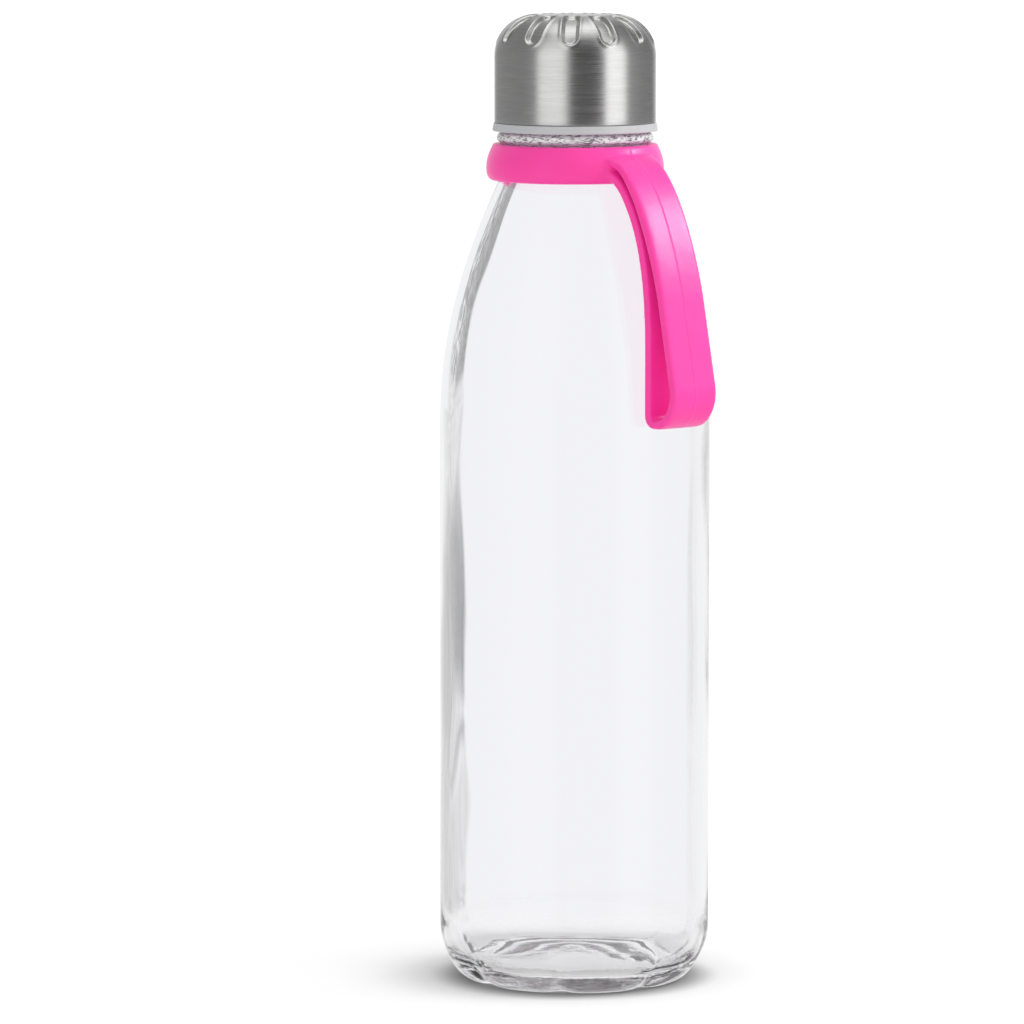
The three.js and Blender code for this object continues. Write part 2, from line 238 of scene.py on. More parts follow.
def glass_outline():
    """The bottle's section from the middle of its base, up the outside, over the rim and down the inside.
    Also gives the number of the first point that lies inside."""
    heel_turn = np.linspace(math.pi / 2, 0, 30, endpoint=False)
    heel_out = np.cos(heel_turn) ** (2 / HEEL_ROUNDNESS)
    heel_down = np.sin(heel_turn) ** (2 / HEEL_ROUNDNESS)
    heel = np.column_stack([
        STANDING_RADIUS + (BODY_RADIUS - STANDING_RADIUS) * heel_out,
        HEEL_HEIGHT * (1 - heel_down),
    ])
    bead_radius, bead_middle = BEAD_MIDDLE
    bead_bottom = bead_middle - BEAD_ROUNDING
    bead_top = bead_middle + BEAD_ROUNDING
    rim_base = RIM_HEIGHT - RIM_ROUNDING
    bore = FINISH_RADIUS - 2 * RIM_ROUNDING
    inside = BODY_RADIUS - WALL
    outer = np.vstack([
        bezier((0, PUSH_UP_HEIGHT), (9, PUSH_UP_HEIGHT), (17, 1.4), (PUSH_UP_RADIUS, 0.3), 14),
        bezier((PUSH_UP_RADIUS, 0.3), (22.2, 0), (22.8, 0), (24.5, 0), 5),
        line((24.5, 0), (STANDING_RADIUS, 0), 5),
        heel,
        line((BODY_RADIUS, HEEL_HEIGHT), (BODY_RADIUS, SHOULDER_START), 30),
        bezier((BODY_RADIUS, SHOULDER_START), (BODY_RADIUS, 155.4), (BODY_RADIUS, 174.9),
               (SHOULDER_END_RADIUS, SHOULDER_END), 56),
        bezier((SHOULDER_END_RADIUS, SHOULDER_END), (19.0, 209.5), (NECK_RADIUS, 210),
               (NECK_RADIUS, 211.4), 8),
        line((NECK_RADIUS, 211.4), (NECK_RADIUS, 217.2), 4),
        bezier((NECK_RADIUS, 217.2), (NECK_RADIUS, 217.5), (18.7, bead_bottom),
               (bead_radius, bead_bottom), 3),
        arc(BEAD_MIDDLE, BEAD_ROUNDING, -90, 90, 18),
        line((bead_radius, bead_top), (18.3, bead_top), 2),
        bezier((18.3, bead_top), (17.9, bead_top), (FINISH_RADIUS, 220.6), (FINISH_RADIUS, 221.0), 5),
        line((FINISH_RADIUS, 221.0), (FINISH_RADIUS, 228.0), 8),
        line((FINISH_RADIUS, 228.0), (FINISH_RADIUS, 238.0), 36),
        line((FINISH_RADIUS, 238.0), (FINISH_RADIUS, rim_base), 4),
        arc((FINISH_RADIUS - RIM_ROUNDING, rim_base), RIM_ROUNDING, 0, 180, 16),
    ])
    inner = np.vstack([
        line((bore, rim_base), (bore, 214), 14),
        bezier((bore, 214), (bore, 211), (15.9, 209.7), (16.5, SHOULDER_END), 6),
        bezier((16.5, SHOULDER_END), (inside, 174.9), (inside, 155.4), (inside, SHOULDER_START), 46),
        line((inside, SHOULDER_START), (inside, 20), 52),
        bezier((inside, 20), (inside, 9.4), (30.6, 6.0), (25.5, 5.3), 24),
        bezier((25.5, 5.3), (18, 4.9), (9, 5.6), (0, 5.6), 14),
        [(0, 5.6)],
    ])
    return np.vstack([outer, inner]), len(outer)


def glass_surface(first_inside):
    """Gives the function that puts the lobes, the thread and the uneven inside on the bottle."""

    def move(radius, height, angle):
        outside = np.arange(len(radius))[:, None] < first_inside - 1
        outside = np.broadcast_to(outside, radius.shape)
        crease = (1 - np.abs(np.sin(LOBES / 2 * (angle - LOBE_PHASE)))) ** CREASE_SHARPNESS
        on_heel = outside & (height < HEEL_HEIGHT) & (radius > 22)
        foot_share = smoothstep(radius, 24.0, 27.5)
        side_share = 1 - smoothstep(height, 2.5, 0.8 * HEEL_HEIGHT)
        pinch = CREASE_DEPTH * crease * foot_share * side_share
        lift = CREASE_LIFT * crease * foot_share * (1 - smoothstep(height, 0, 5))
        relief = thread_relief(height, angle, NECK_THREAD_START) * (outside & (height > 225))
        uneven = np.zeros_like(radius)
        for size, count, rise, phase in INSIDE_WAVES:
            uneven += size * np.sin(count * angle + height / rise + phase)
        wall_share = smoothstep(radius, 15.5, 24) * smoothstep(height, 8, 22)
        floor_share = smoothstep(radius, 4, 20) * (1 - smoothstep(height, 7, 16))
        new_radius = radius - pinch * on_heel + NECK_THREAD_DEPTH * relief
        new_radius = new_radius + uneven * wall_share * ~outside
        new_height = height + lift * on_heel + 4 * uneven * floor_share * ~outside
        return new_radius, new_height

    return move


def build_glass():
    outline, first_inside = glass_outline()
    piece = revolve("bottle_glass", outline, 232, glass_surface(first_inside))
    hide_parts("glass_bottle")
    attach(piece, "bottle")
    return piece


# ---- Steel cap shell ----

CAP_CORNER = 10.5
SHEET = 0.5
FLUTES = 12
FLUTE_DEPTH = 1.0
FLUTE_HALF_WIDTH = 2.25
FLUTE_HALF_FLOOR = 1.5
FLUTE_HALF_LENGTH = 6.5
FLUTE_MIDDLE = math.radians(54.5)
FLUTE_LIP = 0.15
FLUTE_LIP_OFFSET = 0.25
FLUTE_LIP_REACH = 0.45
SHELL_BOTTOM = CAP_MOUTH + 2.15
CORNER_CENTRE = (CAP_RADIUS - CAP_CORNER, CAP_TOP - CAP_CORNER)


def press_flutes(radius, height, angle):
    """Presses round-ended flutes into the rounded corner of the shell, with a slight lip round each."""
    out = radius - CORNER_CENTRE[0]
    up = height - CORNER_CENTRE[1]
    rise = np.arctan2(up, np.maximum(out, 1e-6))
    pitch = 2 * math.pi / FLUTES
    offset = angle - np.round(angle / pitch) * pitch
    across = offset * (CORNER_CENTRE[0] + CAP_CORNER * np.cos(rise))
    along = np.abs(rise - FLUTE_MIDDLE) * CAP_CORNER
    past_end = np.maximum(along - (FLUTE_HALF_LENGTH - FLUTE_HALF_WIDTH), 0)
    distance = np.hypot(across, past_end)
    press = FLUTE_DEPTH * (1 - smoothstep(distance, FLUTE_HALF_FLOOR, FLUTE_HALF_WIDTH))
    off_lip = (distance - FLUTE_HALF_WIDTH - FLUTE_LIP_OFFSET) / FLUTE_LIP_REACH
    press = press - FLUTE_LIP * np.exp(-off_lip ** 2)
    press = press * ((out > 0) & (up > -3))
    rise = np.maximum(rise, 0)
    return radius - press * np.cos(rise), height - press * np.sin(rise)


def build_shell():
    inside = CAP_RADIUS - SHEET
    ceiling = CAP_TOP - SHEET
    lip = SHEET / 2
    outline = np.vstack([
        line((0, ceiling), (CORNER_CENTRE[0], ceiling), 6),
        arc(CORNER_CENTRE, CAP_CORNER - SHEET, 90, 0, 30),
        line((inside, CORNER_CENTRE[1]), (inside, SHELL_BOTTOM + lip), 10),
        arc((inside + lip, SHELL_BOTTOM + lip), lip, 180, 360, 8),
        line((CAP_RADIUS, SHELL_BOTTOM + lip), (CAP_RADIUS, CORNER_CENTRE[1]), 14),
        arc(CORNER_CENTRE, CAP_CORNER, 0, 90, 44),
        line((CORNER_CENTRE[0], CAP_TOP), (0, CAP_TOP), 14),
        [(0, CAP_TOP)],
    ])
    piece = revolve("cap_cup", outline, FLUTES * 34, press_flutes)
    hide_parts("cap_shell")
    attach(piece, "cap")
    return piece


# ---- Plastic insert and seal ----

# Heights on the insert are given above the cap's mouth.
SKIRT_RADIUS = 20.0
SKIRT_BORE = 19.1
SKIRT_BORE_TOP = 17.4
CAP_THREAD_DEPTH = 1.15
FLANGE_HEIGHT = 2.1
FLANGE_DRAFT = 0.3
FLANGE_ROUNDING = 0.28
SEAT_RADIUS = 17.95
SEAT_BOTTOM = 18.4
CEILING = 22.9
LOCATOR_INNER = 12.5
LOCATOR_OUTER = 13.7
LOCATOR_BOTTOM = 18.9
LOCATOR_ROUNDING = 0.2
INSERT_CORNER = 8.9
INSERT_CHAMFER = 0.3
TOP_RADIUS = 17.4
SEAL_INNER = 14.0
SEAL_ROUNDING = 0.35


def cut_cap_thread(radius, height, angle):
    """Stands the insert's thread up in its bore, half a pitch below the neck's."""
    in_bore = (np.abs(radius - SKIRT_BORE) < 0.01) & (height > CAP_MOUTH + 2)
    start = NECK_THREAD_START - THREAD_PITCH / 2
    relief = thread_relief(height, angle, start) * in_bore
    return radius - CAP_THREAD_DEPTH * relief, height


def build_insert():
    base = CAP_MOUTH
    top = INSERT_HIGH[2]
    ceiling = base + CEILING
    bore_top = base + SKIRT_BORE_TOP
    seat_bottom = base + SEAT_BOTTOM
    flange_top = base + FLANGE_HEIGHT
    flange_shoulder = FLANGE_RADIUS - FLANGE_DRAFT
    rounding = FLANGE_ROUNDING
    tip = LOCATOR_ROUNDING
    tip_bottom = base + LOCATOR_BOTTOM
    corner_top = top - INSERT_CHAMFER
    end_turn = math.asin((corner_top - CORNER_CENTRE[1]) / INSERT_CORNER)
    corner_end = (CORNER_CENTRE[0] + INSERT_CORNER * math.cos(end_turn), corner_top)
    outline = np.vstack([
        line((0, ceiling), (LOCATOR_INNER, ceiling), 8),
        line((LOCATOR_INNER, ceiling), (LOCATOR_INNER, tip_bottom + tip), 6),
        arc((LOCATOR_INNER + tip, tip_bottom + tip), tip, 180, 270, 4),
        line((LOCATOR_INNER + tip, tip_bottom), (LOCATOR_OUTER - tip, tip_bottom), 2),
        arc((LOCATOR_OUTER - tip, tip_bottom + tip), tip, 270, 360, 4),
        line((LOCATOR_OUTER, tip_bottom + tip), (LOCATOR_OUTER, ceiling), 6),
        line((LOCATOR_OUTER, ceiling), (SEAT_RADIUS, ceiling), 4),
        line((SEAT_RADIUS, ceiling), (SEAT_RADIUS, seat_bottom), 6),
        line((SEAT_RADIUS, seat_bottom), (SKIRT_BORE, bore_top), 4),
        line((SKIRT_BORE, bore_top), (SKIRT_BORE, base + 1.2), 54),
        bezier((SKIRT_BORE, base + 1.2), (SKIRT_BORE, base + 0.6), (19.4, base), (19.9, base), 6),
        line((19.9, base), (FLANGE_RADIUS - rounding, base), 3),
        arc((FLANGE_RADIUS - rounding, base + rounding), rounding, 270, 360, 6),
        line((FLANGE_RADIUS, base + rounding), (flange_shoulder, flange_top - rounding), 4),
        arc((flange_shoulder - rounding, flange_top - rounding), rounding, 0, 90, 6),
        line((flange_shoulder - rounding, flange_top), (SKIRT_RADIUS, flange_top), 3),
        line((SKIRT_RADIUS, flange_top), (SKIRT_RADIUS, CORNER_CENTRE[1] - 1), 8),
        arc(CORNER_CENTRE, INSERT_CORNER, 0, math.degrees(end_turn), 10),
        line(corner_end, (TOP_RADIUS, top), 3),
        line((TOP_RADIUS, top), (0, top), 8),
        [(0, top)],
    ])
    piece = revolve("cap_liner", outline, 180, cut_cap_thread)
    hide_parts("cap_insert")
    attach(piece, "cap")
    return piece


def build_seal():
    low, high = SEAL_LOW[2], SEAL_HIGH[2]
    inner, outer = SEAL_INNER, SEAL_HIGH[0]
    rounding = SEAL_ROUNDING
    outline = np.vstack([
        line((inner + rounding, low), (outer - rounding, low), 8),
        arc((outer - rounding, low + rounding), rounding, 270, 360, 6),
        arc((outer - rounding, high - rounding), rounding, 0, 90, 6),
        line((outer - rounding, high), (inner + rounding, high), 8),
        arc((inner + rounding, high - rounding), rounding, 90, 180, 6),
        arc((inner + rounding, low + rounding), rounding, 180, 270, 6),
        [(inner + rounding, low)],
    ])
    piece = revolve("seal_washer", outline, 144)
    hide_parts("cap_seal")
    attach(piece, "seal")
    return piece


# ---- Carry strap: one silicone moulding, a ring with a flat band folded back to it ----

BAND_HALF_WIDTH = 7.2
BAND_HALF_THICKNESS = 1.2
BAND_SQUARENESS = 0.24  # 1 would make the band's section an ellipse, and 0 a sharp rectangle
BAND_TAPER = 0.2
ROOT_FLARE = 1.2
VOXEL = 0.34
ROOT_SOFTENING = 6  # passes
RING_BORE = 19.0
RING_MOUTH = 20.1
RING_EDGE = 0.4


def strap_midline():
    """The band's middle, from the ring out along the outer leg, round the bottom bend and back up."""
    points = np.vstack([
        bezier((20.9, 214.0), (30.1, 212.7), (38.1, 191.4), (40.9, 179.4), 60),
        line((40.9, 179.4), (45.6, 157), 30),
        bezier((45.6, 157), (46.3, 153), (43.6, 147.8), (39.2, 147.7), 24),
        line((39.2, 147.7), (38.2, 147.7), 3),
        arc((38.2, 149.8), 2.1, 270, 180, 12),
        line((36.1, 149.8), (36.1, 164), 20),
        bezier((36.1, 164), (36.1, 177.1), (35.9, 199.8), (20.9, 211.0), 60),
        [(20.9, 211.0)],
    ])
    return resample(points, 0.5)


def band_mesh(name):
    """The flat band swept along its midline, with round edges and a slight flare where it meets the ring."""
    path = strap_midline()
    ahead = np.gradient(path, axis=0)
    ahead /= np.hypot(*ahead.T)[:, None]
    normal = np.column_stack([-ahead[:, 1], ahead[:, 0]])
    step = np.hypot(*np.diff(path, axis=0).T)
    run = np.concatenate([[0], np.cumsum(step)])
    from_end = np.minimum(run, run[-1] - run)
    flare = 1 - smoothstep(from_end, 0.5, 5.0)
    corners = 64
    turn = np.arange(corners) * 2 * math.pi / corners
    half_width = BAND_HALF_WIDTH - BAND_TAPER * (1 - smoothstep(from_end, 5, 30)) + ROOT_FLARE * flare
    half_thickness = BAND_HALF_THICKNESS + 0.1 * flare
    power = BAND_SQUARENESS + (0.7 - BAND_SQUARENESS) * flare
    vertices = []
    for point, out, wide, thick, round_off in zip(path, normal, half_width, half_thickness, power):
        across = np.sign(np.cos(turn)) * np.abs(np.cos(turn)) ** round_off
        through = np.sign(np.sin(turn)) * np.abs(np.sin(turn)) ** round_off
        offset = np.outer(through * thick, out)
        radial = point[0] + offset[:, 0]
        height = point[1] + offset[:, 1]
        ring = np.outer(radial, LOOP_OUT) + np.outer(across * wide, LOOP_SIDE)
        ring[:, 2] = height
        vertices.append(ring)
    faces = []
    for station in range(len(path) - 1):
        for corner in range(corners):
            after = (corner + 1) % corners
            here = station * corners
            faces.append((here + corner, here + after, here + corners + after, here + corners + corner))
    faces.append(tuple(range(corners)))
    last = (len(path) - 1) * corners
    faces.append(tuple(last + corner for corner in reversed(range(corners))))
    return mesh_object(name, np.vstack(vertices), faces)


def ring_mesh(name):
    """The flared ring that sits round the neck under the cap."""
    low, high, mouth = COLLAR_BOTTOM, COLLAR_TOP, RING_MOUTH
    bore_top = high - RING_EDGE
    outline = np.vstack([
        line((mouth + 0.3, low), (21.2, low), 3),
        bezier((21.2, low), (21.7, low), (22.0, low + 0.2), (22.3, low + 0.6), 5),
        bezier((22.3, low + 0.6), (23.2, low + 1.6), (23.4, low + 5.2), (21.35, high - 0.5), 26),
        arc((20.9, high - 0.45), 0.45, 0, 90, 6),
        line((20.9, high), (RING_BORE + RING_EDGE, high), 5),
        arc((RING_BORE + RING_EDGE, bore_top), RING_EDGE, 90, 180, 5),
        line((RING_BORE, bore_top), (RING_BORE, low + 3.5), 10),
        bezier((RING_BORE, low + 3.5), (RING_BORE, low + 2), (19.9, low + 1), (mouth, low + 0.3), 8),
        bezier((mouth, low + 0.3), (mouth, low + 0.1), (mouth + 0.1, low), (mouth + 0.3, low), 3),
        [(mouth + 0.3, low)],
    ])
    return revolve(name, outline, 256)


def build_strap():
    """Fuses ring and band into one skin, so that nothing shows where they meet."""
    ring = ring_mesh("carry_strap")
    band = band_mesh("band_blank")
    with bpy.context.temp_override(active_object=ring, object=ring, selected_editable_objects=[ring, band]):
        bpy.ops.object.join()
    remesh = ring.modifiers.new("fuse", "REMESH")
    remesh.mode = "VOXEL"
    remesh.voxel_size = VOXEL * MM
    remesh.use_smooth_shade = True
    soften = ring.modifiers.new("soften", "SMOOTH")
    soften.factor = 0.5
    soften.iterations = 5
    bpy.context.view_layer.update()
    skin = bpy.data.meshes.new_from_object(ring.evaluated_get(bpy.context.evaluated_depsgraph_get()))
    blank = ring.data
    ring.modifiers.clear()
    ring.data = skin
    bpy.data.meshes.remove(blank)
    skin.name = "carry_strap"
    skin.shade_smooth()
    soften_root(skin)
    keep_rest_position(skin)
    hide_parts("neck_ring", "carry_loop")
    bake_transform(ring)
    return ring


def soften_root(mesh):
    """Rounds off the corner where the band leaves the ring, as a mould would."""
    count = len(mesh.vertices)
    place = np.empty(count * 3)
    mesh.vertices.foreach_get("co", place)
    place = place.reshape(-1, 3) / MM
    out = place @ LOOP_OUT
    outside_bore = smoothstep(np.hypot(place[:, 0], place[:, 1]), RING_BORE + 1.2, RING_BORE + 2.0)
    share = 0.5 * outside_bore * smoothstep(out, 13, 18) * (1 - smoothstep(out, 24.5, 28))
    ends = np.empty(len(mesh.edges) * 2, int)
    mesh.edges.foreach_get("vertices", ends)
    first, second = ends.reshape(-1, 2).T
    neighbours = np.bincount(ends, minlength=count)
    for _ in range(ROOT_SOFTENING):
        for axis in range(3):
            here = place[:, axis]
            total = np.bincount(first, here[second], count) + np.bincount(second, here[first], count)
            place[:, axis] += share * (total / neighbours - here)
    mesh.vertices.foreach_set("co", (place * MM).ravel())
    mesh.update()


def keep_rest_position(mesh):
    """Stores where each vertex lies at rest, so that the finish stays put on the silicone when it bends."""
    count = len(mesh.vertices)
    rest = np.empty(count * 3)
    mesh.vertices.foreach_get("co", rest)
    mesh.attributes.new("rest", "FLOAT_VECTOR", "POINT").data.foreach_set("vector", rest)
    across = rest.reshape(-1, 3) @ LOOP_SIDE
    mesh.attributes.new("across", "FLOAT", "POINT").data.foreach_set("value", across)


# ---- Node trees ----


class Nodes:
    """Short ways to add nodes to one tree. An input given as a socket is linked; anything else is set."""

    def __init__(self, tree):
        self.tree = tree
        tree.nodes.clear()

    def add(self, kind, inputs=None, **settings):
        made = self.tree.nodes.new(kind)
        for name, value in settings.items():
            setattr(made, name, value)
        for name, value in (inputs or {}).items():
            self.feed(made.inputs[name], value)
        return made

    def feed(self, socket, value):
        if isinstance(value, bpy.types.NodeSocket):
            self.tree.links.new(value, socket)
        else:
            socket.default_value = value

    def math(self, operation, *values):
        made = self.add("ShaderNodeMath", operation=operation)
        for socket, value in zip(made.inputs, values):
            self.feed(socket, value)
        return made.outputs[0]

    def rescale(self, value, low, high, to_low=0.0, to_high=1.0):
        """value running from low to high, given as a smooth run from to_low to to_high."""
        made = self.add("ShaderNodeMapRange", interpolation_type="SMOOTHSTEP")
        for socket, amount in zip(made.inputs, (value, low, high, to_low, to_high)):
            self.feed(socket, amount)
        return made.outputs[0]

    def noise(self, vector, scale, detail=3.0, roughness=0.5):
        inputs = {"Vector": vector, "Scale": scale, "Detail": detail, "Roughness": roughness}
        return self.add("ShaderNodeTexNoise", inputs).outputs["Fac"]

    def stretched_noise(self, vector, scales, detail=3.0):
        """Noise with its own scale along each of X, Y and Z."""
        stretched = self.add("ShaderNodeMapping", {"Vector": vector, "Scale": scales}).outputs[0]
        return self.noise(stretched, 1.0, detail)

    def mix_colour(self, share, a, b):
        made = self.add("ShaderNodeMix", data_type="RGBA")
        self.feed(made.inputs["Factor"], share)
        self.feed(made.inputs[6], a)
        self.feed(made.inputs[7], b)
        return made.outputs[2]

    def bump(self, height, distance, normal=None):
        """A bump whose height, from 0 to 1, stands for a real distance in millimetres."""
        made = self.add("ShaderNodeBump", {"Height": height, "Distance": distance * MM, "Strength": 1})
        if normal is not None:
            self.feed(made.inputs["Normal"], normal)
        return made.outputs["Normal"]

    def blend_shaders(self, share, a, b):
        return self.add("ShaderNodeMixShader", {0: share, 1: a, 2: b}).outputs[0]

    def shade(self, shader):
        output = self.add("ShaderNodeOutputMaterial")
        self.feed(output.inputs["Surface"], shader)


def new_material(name):
    material = bpy.data.materials.new(name)
    material.use_nodes = True
    return material, Nodes(material.node_tree)


def grey(level):
    return (level, level, level, 1)


# ---- Materials ----


GLASS_TINT = (0.994, 0.992, 0.999, 1)
GLASS_IOR = 1.52
# The screw finish's silvery look is a painted reflection, painted darker towards its bottom.
PAINTED_SILVER_SHARE = 0.8
PAINTED_SILVER_TINT = (0.97, 1.0, 0.98, 1)
PAINTED_SILVER_HEIGHTS = (217.6, 219.4)  # heights between which the silvery finish brightens
PINK = (0.955, 0.042, 0.345, 1), (0.975, 0.052, 0.390, 1)
BOUNCED_PINK = (0.95, 0.010, 0.68, 1)


def clear_glass():
    """Clear glass, stippled at the heel, with a painted silvery reflection in the screw finish. Shadows
    through it are pale.
    """
    material, nodes = new_material("clear_glass")
    place = nodes.add("ShaderNodeTexCoord").outputs["Object"]
    height = nodes.add("ShaderNodeSeparateXYZ", {0: place}).outputs["Z"]
    from_axis = nodes.add("ShaderNodeVectorMath", {0: place, 1: (1, 1, 0)}, operation="MULTIPLY").outputs[0]
    radius = nodes.add("ShaderNodeVectorMath", {0: from_axis}, operation="LENGTH").outputs["Value"]
    stipple = nodes.noise(place, 900, detail=2)
    flow = nodes.noise(place, 38, detail=1)
    heel_share = nodes.rescale(height, 4 * MM, 11 * MM, 1, 0)
    stipple_height = nodes.math("MULTIPLY", stipple, heel_share)
    finish_share = nodes.rescale(height, FINISH_LEVEL * MM, (FINISH_LEVEL + 1) * MM)
    grit = nodes.math("MULTIPLY", nodes.noise(place, 800, detail=3), finish_share)
    normal = nodes.bump(flow, 0.03)
    normal = nodes.bump(stipple_height, 0.05, normal=normal)
    normal = nodes.bump(grit, 0.30, normal=normal)
    wear = nodes.noise(place, 420, detail=4)
    roughness = nodes.rescale(wear, 0.45, 0.75, 0.0, 0.03)
    glass = nodes.add("ShaderNodeBsdfPrincipled", {
        "Base Color": GLASS_TINT,
        "Transmission Weight": 1,
        "IOR": GLASS_IOR,
        "Roughness": roughness,
        "Normal": normal,
    }).outputs[0]
    # Inside the screw finish, light bounces between threads and rim until it comes out silvery. That light is
    # painted on as an opaque silvery coat with painted glints, painted darker towards its bottom.
    painted_glints = nodes.stretched_noise(place, (700, 700, 3600))
    brighter = nodes.rescale(height, *(level * MM for level in PAINTED_SILVER_HEIGHTS))
    silvery = nodes.mix_colour(brighter, grey(0.5), PAINTED_SILVER_TINT)
    painted_silver = nodes.add("ShaderNodeBsdfPrincipled", {
        "Base Color": nodes.mix_colour(nodes.rescale(painted_glints, 0.40, 0.50), grey(0.13), silvery),
        "Metallic": 0.1,
        "Roughness": 0.35,
        "Normal": normal,
    }).outputs[0]
    glass = nodes.blend_shaders(nodes.math("MULTIPLY", finish_share, PAINTED_SILVER_SHARE), glass, painted_silver)
    facing = nodes.add("ShaderNodeLayerWeight", {"Blend": 0.5}).outputs["Facing"]
    edge = nodes.math("POWER", facing, 3)
    shade = nodes.mix_colour(edge, grey(0.98), grey(0.8))
    low_down = nodes.rescale(height, 3 * MM, 20 * MM, 1, 0)
    far_out = nodes.rescale(radius, 24 * MM, 29 * MM)
    shade = nodes.mix_colour(nodes.math("MULTIPLY", low_down, far_out), shade, grey(0.3))
    through = nodes.add("ShaderNodeBsdfTransparent", {"Color": shade}).outputs[0]
    path = nodes.add("ShaderNodeLightPath")
    soft_light = nodes.math("MAXIMUM", path.outputs["Is Shadow Ray"], path.outputs["Is Diffuse Ray"])
    nodes.shade(nodes.blend_shaders(soft_light, glass, through))
    return material


def round_the_axis(nodes, turn, along, wide, fine):
    """Places in a pattern of lines that run round the axis, wide along the lines and fine across them."""
    return nodes.add("ShaderNodeCombineXYZ", {
        "X": nodes.math("MULTIPLY", nodes.math("COSINE", turn), wide),
        "Y": nodes.math("MULTIPLY", nodes.math("SINE", turn), wide),
        "Z": nodes.math("MULTIPLY", along, fine),
    }).outputs[0]


def brushed_steel():
    """Steel turned on a lathe: fine lines run round the cap on its side, corner and top."""
    material, nodes = new_material("brushed_steel")
    place = nodes.add("ShaderNodeTexCoord").outputs["Object"]
    apart = nodes.add("ShaderNodeSeparateXYZ", {0: place})
    x, y, z = (apart.outputs[k] for k in range(3))
    squares = nodes.math("ADD", nodes.math("MULTIPLY", x, x), nodes.math("MULTIPLY", y, y))
    radius = nodes.math("SQRT", squares)
    along = nodes.math("SUBTRACT", z, radius)
    turn = nodes.math("ARCTAN2", y, x)
    lines = nodes.noise(round_the_axis(nodes, turn, along, 1.3, 9000), 1.0, detail=3, roughness=0.65)
    broad = nodes.noise(round_the_axis(nodes, turn, along, 2.2, 1400), 1.0, detail=2)
    smudge = nodes.noise(place, 90, detail=3)
    smudged = nodes.math("MULTIPLY", smudge, 0.05)
    roughness = nodes.math("ADD", nodes.rescale(lines, 0.3, 0.7, 0.22, 0.34), smudged)
    tone = nodes.mix_colour(nodes.math("MULTIPLY", broad, lines), grey(0.50), (0.74, 0.73, 0.72, 1))
    steel = nodes.add("ShaderNodeBsdfPrincipled", {
        "Base Color": tone,
        "Metallic": 1,
        "Roughness": roughness,
        "Anisotropic": 0.75,
        "Anisotropic Rotation": 0.25,
        "Tangent": nodes.add("ShaderNodeTangent", direction_type="RADIAL", axis="Z").outputs[0],
        "Normal": nodes.bump(lines, 0.006),
    })
    nodes.shade(steel.outputs[0])
    return material


def liner_plastic():
    """Light grey moulded plastic, slightly milky, with a satin grain."""
    material, nodes = new_material("liner_plastic")
    place = nodes.add("ShaderNodeTexCoord").outputs["Object"]
    grain = nodes.noise(place, 2600, detail=3)
    cloud = nodes.noise(place, 160, detail=2)
    plastic = nodes.add("ShaderNodeBsdfPrincipled", {
        "Base Color": nodes.mix_colour(cloud, (0.44, 0.45, 0.46, 1), (0.52, 0.53, 0.54, 1)),
        "Roughness": nodes.rescale(grain, 0.35, 0.65, 0.30, 0.42),
        "Subsurface Weight": 0.2,
        "Subsurface Scale": 1.5 * MM,
        "Normal": nodes.bump(grain, 0.012),
    })
    nodes.shade(plastic.outputs[0])
    return material


def seal_silicone():
    """Off-white silicone with a matt grain."""
    material, nodes = new_material("seal_silicone")
    place = nodes.add("ShaderNodeTexCoord").outputs["Object"]
    grain = nodes.noise(place, 1900, detail=4)
    cloud = nodes.noise(place, 210, detail=2)
    seal = nodes.add("ShaderNodeBsdfPrincipled", {
        "Base Color": nodes.mix_colour(cloud, (0.80, 0.80, 0.79, 1), (0.88, 0.88, 0.87, 1)),
        "Roughness": nodes.rescale(grain, 0.3, 0.7, 0.42, 0.56),
        "Subsurface Weight": 0.4,
        "Subsurface Scale": 1.2 * MM,
        "Sheen Weight": 0.15,
        "Normal": nodes.bump(grain, 0.02),
    })
    nodes.shade(seal.outputs[0])
    return material


def strap_silicone():
    """Matt pink silicone, with the faint ridge its mould leaves down the middle of the band."""
    material, nodes = new_material("strap_silicone")
    rest = nodes.add("ShaderNodeAttribute", attribute_name="rest").outputs["Vector"]
    across = nodes.add("ShaderNodeAttribute", attribute_name="across").outputs["Fac"]
    off_line = nodes.math("ABSOLUTE", across)
    ridge = nodes.rescale(off_line, 0.0, 0.35 * MM, 1, 0)
    grain = nodes.noise(rest, 2300, detail=4, roughness=0.6)
    waves = nodes.noise(rest, 130, detail=2)
    normal = nodes.bump(waves, 0.12)
    normal = nodes.bump(grain, 0.016, normal=normal)
    normal = nodes.bump(ridge, 0.10, normal=normal)
    pink = nodes.mix_colour(waves, *PINK)
    # Where one leg of the loop lights the other, the pink deepens towards magenta and not towards red.
    bounced = nodes.add("ShaderNodeLightPath").outputs["Is Diffuse Ray"]
    silicone = nodes.add("ShaderNodeBsdfPrincipled", {
        "Base Color": nodes.mix_colour(bounced, pink, BOUNCED_PINK),
        "Roughness": nodes.rescale(grain, 0.3, 0.7, 0.31, 0.40),
        "Subsurface Weight": 0.25,
        "Subsurface Radius": (1.0, 0.4, 0.9),
        "Subsurface Scale": 1.6 * MM,
        "Sheen Weight": 0.12,
        "Sheen Roughness": 0.4,
        "Sheen Tint": (1.0, 0.7, 0.85, 1),
        "Normal": normal,
    })
    nodes.shade(silicone.outputs[0])
    return material


# ---- Studio: pale floor, soft light and the surroundings that steel and glass pick up ----

# Light levels are listed by direction, in degrees. In what the cap and the glass reflect, azimuth 0 faces
# the camera and positive is to its right. In what shows through the glass, azimuth 0 is straight behind
# the bottle.

